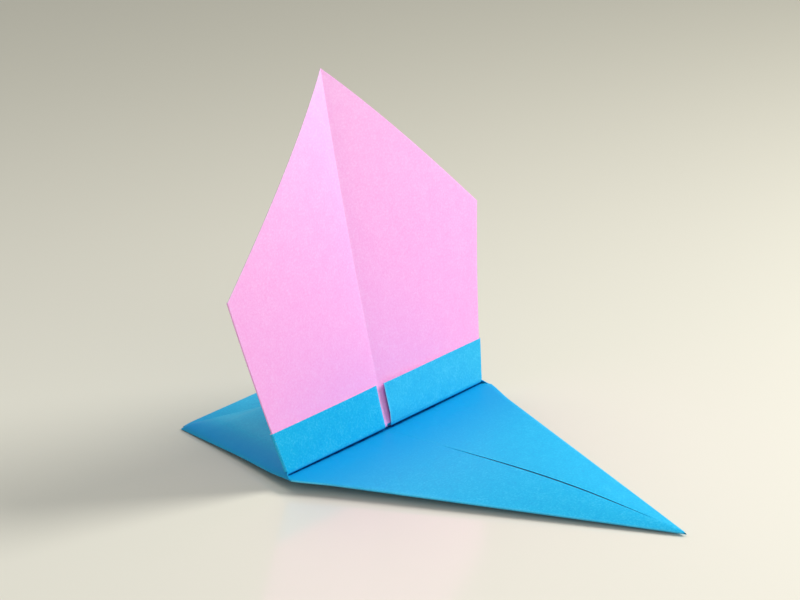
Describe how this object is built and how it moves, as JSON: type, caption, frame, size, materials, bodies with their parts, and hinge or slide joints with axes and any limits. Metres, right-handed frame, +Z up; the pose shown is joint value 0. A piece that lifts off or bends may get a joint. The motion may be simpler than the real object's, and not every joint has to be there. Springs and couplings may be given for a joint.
{
  "type": "origami sailboat",
  "caption": "Origami sailboat toy folded from one two-coloured square sheet, a flat pointed hull with a sail that hinges upright on a crease.",
  "frame": {"origin": "middle of the footprint, on the table", "axes": "+Z up, -Y towards the pointed bow, +Y towards the stern, X across the hull along the sail's hinge crease"},
  "size_m": [0.0704, 0.1058, 0.0719],
  "materials": {
    "blue_paper": "matte",
    "pink_paper": "matte"
  },
  "bodies": {
    "hull": {"hull_base_port": "blue_paper", "hull_base_starboard": "blue_paper", "bow_flap_port": "blue_paper", "bow_flap_starboard": "blue_paper", "deck_lining_port": "blue_paper", "deck_lining_starboard": "blue_paper", "stern_deck_port": "blue_paper", "stern_deck_starboard": "blue_paper", "stern_flap_port": "blue_paper", "stern_flap_starboard": "blue_paper", "stern_flap_cover_port": "blue_paper", "stern_flap_cover_starboard": "blue_paper", "gusset_lining_port": "blue_paper", "gusset_lining_starboard": "blue_paper", "gusset_port": "blue_paper", "gusset_starboard": "blue_paper"},
    "sail": {"sail_band_port": "blue_paper", "sail_band_starboard": "blue_paper", "sail_face_port": "pink_paper", "sail_face_starboard": "pink_paper", "sail_back_flap_port": "pink_paper", "sail_back_flap_starboard": "pink_paper", "sail_back_cover_port": "blue_paper", "sail_back_cover_starboard": "blue_paper"}
  },
  "joints": [
    {"name": "sail_fold", "type": "hinge", "parent": "hull", "child": "sail", "pos_m": [0, 0.01832, 0.00305], "axis": [1, 0, 0], "range_deg": [-80, 101]}
  ]
}
